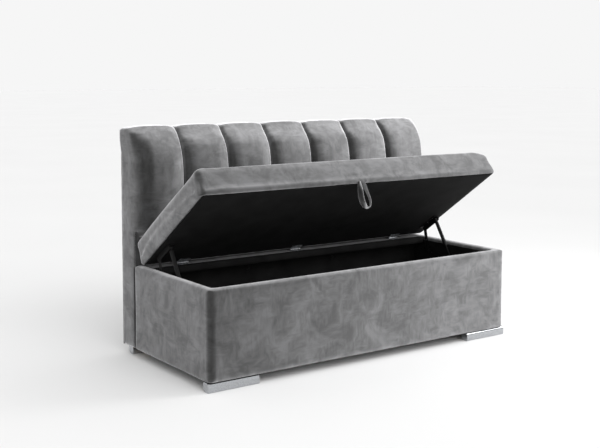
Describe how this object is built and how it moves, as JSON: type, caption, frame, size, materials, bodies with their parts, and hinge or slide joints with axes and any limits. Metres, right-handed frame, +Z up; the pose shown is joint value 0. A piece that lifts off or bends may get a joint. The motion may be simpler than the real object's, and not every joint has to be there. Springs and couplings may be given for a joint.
{
  "type": "storage bench",
  "caption": "Upholstered storage bench with a channelled velvet backrest, a padded box on low chrome feet and a lift-up seat lid on hinges, gas springs and stays",
  "frame": {"origin": "on the floor, under the middle of the overall width and depth, with the lid fully open", "axes": "+X along the bench to the right as seen from the front, -Y towards the sitter in front, +Z up"},
  "size_m": [1.41, 0.667, 0.88],
  "materials": {
    "velvet": "crushed velvet",
    "strap_velvet": "crushed velvet ribbon",
    "lining_cloth": "spun-bonded cloth",
    "foam": "open-cell upholstery foam",
    "foot_chrome": "polished chrome",
    "black_steel": "satin black",
    "zinc": "bright zinc",
    "board": "sawn board"
  },
  "bodies": {
    "base": {"front_panel": "board", "rear_panel": "board", "left_panel": "board", "right_panel": "board", "bottom_panel": "board", "hinge_rail": "board", "rail_cover": "velvet", "box_lining": "lining_cloth", "box_foam": "foam", "box_cover": "velvet", "base_cloth": "lining_cloth", "back_side_left": "board", "back_side_right": "board", "back_rails": "board", "back_panel": "board", "back_rear_panel": "board", "back_cover": "velvet", "back_bolts": "black_steel", "back_channel_1": "velvet", "back_channel_2": "velvet", "back_channel_3": "velvet", "back_channel_4": "velvet", "back_channel_5": "velvet", "back_channel_6": "velvet", "back_channel_7": "velvet", "foot_front_left": "foot_chrome", "foot_front_right": "foot_chrome", "foot_rear_left": "foot_chrome", "foot_rear_right": "foot_chrome", "foot_screws": "zinc", "hinge_base_leaf_1": "zinc", "hinge_base_leaf_2": "zinc", "hinge_base_leaf_3": "zinc", "hinge_pins": "zinc", "hinge_base_screws": "zinc", "lift_base_plate_left": "black_steel", "lift_base_plate_right": "black_steel", "lift_base_screws": "zinc"},
    "lid": {"hinge_lid_leaf_1": "zinc", "hinge_lid_leaf_2": "zinc", "hinge_lid_leaf_3": "zinc", "hinge_lid_screws": "zinc", "lift_lid_arm_left": "black_steel", "lift_lid_arm_right": "black_steel", "lift_lid_screws": "zinc", "lid_frame": "board", "seat_board": "board", "seat_foam": "foam", "seat_cover": "velvet", "lid_cloth": "lining_cloth"},
    "stay_left": {"stay_link_left": "black_steel"},
    "gas_body_left": {"gas_cylinder_left": "black_steel"},
    "gas_piston_left": {"gas_rod_left": "black_steel"},
    "stay_right": {"stay_link_right": "black_steel"},
    "gas_body_right": {"gas_cylinder_right": "black_steel"},
    "gas_piston_right": {"gas_rod_right": "black_steel"},
    "strap": {"pull_strap": "strap_velvet"}
  },
  "joints": [
    {"name": "lid_hinge", "type": "hinge", "parent": "base", "child": "lid", "pos_m": [0, 0.1705, 0.3555], "axis": [1, 0, 0], "range_deg": [0, 34.5]},
    {"name": "stay_left_pivot", "type": "hinge", "parent": "lid", "child": "stay_left", "pos_m": [-0.65745, 0.10444, 0.3918], "axis": [1, 0, 0], "range_deg": [-34.5, 0]},
    {"name": "gas_left_pivot", "type": "hinge", "parent": "lid", "child": "gas_body_left", "pos_m": [-0.6512, 0.0311, 0.44221], "axis": [1, 0, 0], "range_deg": [-43.11, 0]},
    {"name": "gas_left_stroke", "type": "slide", "parent": "gas_body_left", "child": "gas_piston_left", "axis": [0, 0.5349, 0.8449], "range_m": [0, 0.09282]},
    {"name": "stay_right_pivot", "type": "hinge", "parent": "lid", "child": "stay_right", "pos_m": [0.65745, 0.10444, 0.3918], "axis": [1, 0, 0], "range_deg": [-34.5, 0]},
    {"name": "gas_right_pivot", "type": "hinge", "parent": "lid", "child": "gas_body_right", "pos_m": [0.6512, 0.0311, 0.44221], "axis": [1, 0, 0], "range_deg": [-43.11, 0]},
    {"name": "gas_right_stroke", "type": "slide", "parent": "gas_body_right", "child": "gas_piston_right", "axis": [0, 0.5349, 0.8449], "range_m": [0, 0.09282]},
    {"name": "strap_root", "type": "hinge", "parent": "lid", "child": "strap", "pos_m": [0, -0.2808, 0.67077], "axis": [1, 0, 0], "range_deg": [-34.5, 0]}
  ],
  "couplings": [
    {"joint": "stay_left_pivot", "follows": "lid_hinge", "ratio": -1},
    {"joint": "gas_left_pivot", "follows": "lid_hinge", "ratio": -1.2493},
    {"joint": "gas_left_stroke", "follows": "lid_hinge", "m_per_rad": 0.15407},
    {"joint": "stay_right_pivot", "follows": "lid_hinge", "ratio": -1},
    {"joint": "gas_right_pivot", "follows": "lid_hinge", "ratio": -1.2493},
    {"joint": "gas_right_stroke", "follows": "lid_hinge", "m_per_rad": 0.15407},
    {"joint": "strap_root", "follows": "lid_hinge", "ratio": -1}
  ]
}
